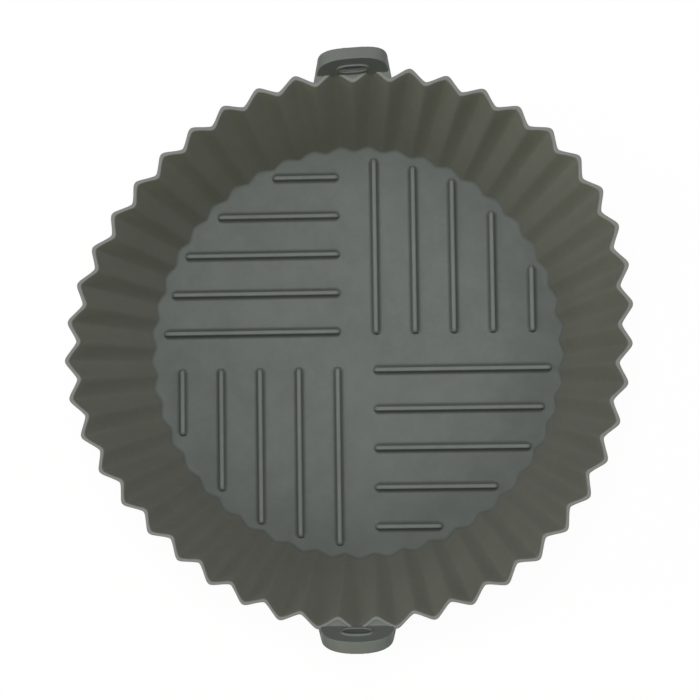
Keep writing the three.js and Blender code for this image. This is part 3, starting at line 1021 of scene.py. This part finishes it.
back_shape = (BACK_FULLNESS, BACK_FLARE, 0.0, 0.0)
back_tab = lift_tab("lift_tab_soft_back", 0.0, *back_shape, "pale_slot")
front_shape = (FRONT_FULLNESS, FRONT_FLARE, FRONT_SHIFT, FRONT_LEAN)
front_tab = lift_tab("lift_tab_soft_front", math.pi, *front_shape, "dark_slot")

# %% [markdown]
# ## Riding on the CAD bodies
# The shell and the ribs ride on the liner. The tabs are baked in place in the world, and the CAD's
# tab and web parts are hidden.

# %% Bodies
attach(shell, "liner")
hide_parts("floor", "pleated_wall")
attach(ribs, "liner")
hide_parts(*rib_names)
for piece, side, body in ((back_tab, "back", "back_tab"), (front_tab, "front", "front_tab")):
    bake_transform(piece)
    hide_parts(f"lift_tab_{side}", f"tab_web_{side}")

# %% [markdown]
# ## Camera
# The photograph looks almost straight down from a little over half a metre. The place, turn and lens below
# come from fitting the ends of all twenty ribs and the crests of the rim.

# %% Camera
CAMERA_PLACE = Vector((17.4, -32.9, 554.9)) * MM
CAMERA_TURN = (3.405, 2.126, -0.769)
CAMERA_SENSOR = 36
CAMERA_LENS = 73.94
CAMERA_NEAREST = 0.01

camera_data = bpy.data.cameras.new("camera")
camera_data.sensor_width = CAMERA_SENSOR
camera_data.lens = CAMERA_LENS
camera_data.clip_start = CAMERA_NEAREST
camera = shown("camera", camera_data)
camera.location = CAMERA_PLACE
camera.rotation_euler = Euler([math.radians(a) for a in CAMERA_TURN], "XYZ")
scene.camera = camera
print("camera at", [round(v / MM, 1) for v in camera.location], "mm")

# %% [markdown]
# ## Floor and light
# The liner lies on plain white paper under four soft boxes. A high one, a little behind, gives most of the
# light. One at each side lights the wall across from it, and a low, slightly warm one in front reaches the
# back wall. By the Light Path node, paper and sky show white to the camera and in reflections, but all other
# light meets a matte sheet and a dark room. The paper keeps a faint shadow near the liner and none far out.

# %% White paper
PAPER_HALF = 3.0
PAPER_DROP = 0.2 * MM
PAPER_GREY = (0.92, 0.92, 0.92, 1.0)
PAPER_GLOW = 1.02
PAPER_SHADOW = 0.08
PAPER_NEAR = 0.2
PAPER_FAR = 1.0


def seen_straight(sheet):
    """1 for rays from the camera, and for those that come by a reflection or through glass."""
    camera_ray = sheet.node("ShaderNodeLightPath", output="Is Camera Ray")
    rays = camera_ray.node.outputs
    either = sheet.math("MAXIMUM", camera_ray, rays["Is Glossy Ray"])
    return sheet.math("MAXIMUM", either, rays["Is Transmission Ray"])


def paper():
    """A matte sheet that shows nearly white, and keeps a small share of the shadow near the liner."""
    material = bpy.data.materials.new("white_paper")
    material.use_nodes = True
    material.node_tree.nodes.clear()
    sheet = Sheet(material.node_tree)
    matte = sheet.node("ShaderNodeBsdfDiffuse", {"Color": PAPER_GREY})
    white = sheet.node("ShaderNodeEmission", {"Strength": PAPER_GLOW})
    place = sheet.node("ShaderNodeTexCoord", output="Object")
    far = sheet.node("ShaderNodeVectorMath", {0: place}, "Value", operation="LENGTH")
    pale = sheet.ramp(far, PAPER_NEAR, PAPER_FAR, 1 - PAPER_SHADOW)
    share = sheet.math("MULTIPLY", seen_straight(sheet), pale)
    mix = sheet.node("ShaderNodeMixShader", {0: share, 1: matte, 2: white})
    sheet.node("ShaderNodeOutputMaterial", {"Surface": mix})
    return material


paper_mesh = bpy.data.meshes.new("paper")
corners = [(x * PAPER_HALF, y * PAPER_HALF, -PAPER_DROP) for x, y in ((-1, -1), (1, -1), (1, 1), (-1, 1))]
paper_mesh.from_pydata(corners, [], [(0, 1, 2, 3)])
paper_mesh.materials.append(paper())
paper_sheet = shown("paper", paper_mesh)
print("paper is", 2 * PAPER_HALF, "m wide")

# %% Soft boxes
# Each box has a name, an azimuth and an elevation in degrees, its share of the light, and its colour.
BOX_DISTANCE = 1.5
BOX_SIZE = 0.9
SOFT_BOXES = (
    ("high_box", 86, 82.5, 0.655, (1.0, 1.0, 1.0)),
    ("left_box", 170, 28, 0.132, (1.0, 1.0, 1.0)),
    ("right_box", 6, 28, 0.07, (1.0, 1.0, 1.0)),
    ("low_box", 256, 21, 0.073, (1.0, 0.99, 0.74)),
)


def soft_box(name, azimuth, elevation, share, colour):
    """A square lamp that looks at the liner and gives a level surface its share of the light."""
    turn, tilt = math.radians(azimuth), math.radians(elevation)
    towards = Vector((math.cos(tilt) * math.cos(turn), math.cos(tilt) * math.sin(turn), math.sin(tilt)))
    data = bpy.data.lights.new(name, "AREA")
    data.size = BOX_SIZE
    data.color = colour
    data.energy = share * (math.pi * BOX_DISTANCE) ** 2 / towards.z
    lamp = shown(name, data)
    lamp.location = towards * BOX_DISTANCE
    lamp.rotation_euler = (-towards).to_track_quat("-Z", "Y").to_euler()
    print(f"{name}: {data.energy:.1f} W")


for soft in SOFT_BOXES:
    soft_box(*soft)

# %% Sky
SKY_GREY = (0.02, 0.02, 0.02, 1.0)
SKY_WHITE = (1.0, 1.0, 1.0, 1.0)


def sky():
    """A dark room that shows white."""
    world = bpy.data.worlds.new("room")
    world.use_nodes = True
    world.node_tree.nodes.clear()
    sheet = Sheet(world.node_tree)
    dark = sheet.node("ShaderNodeBackground", {"Color": SKY_GREY})
    white = sheet.node("ShaderNodeBackground", {"Color": SKY_WHITE})
    mix = sheet.node("ShaderNodeMixShader", {0: seen_straight(sheet), 1: dark, 2: white})
    sheet.node("ShaderNodeOutputWorld", {"Surface": mix})
    return world


scene.world = sky()
print("sky", SKY_GREY[0])
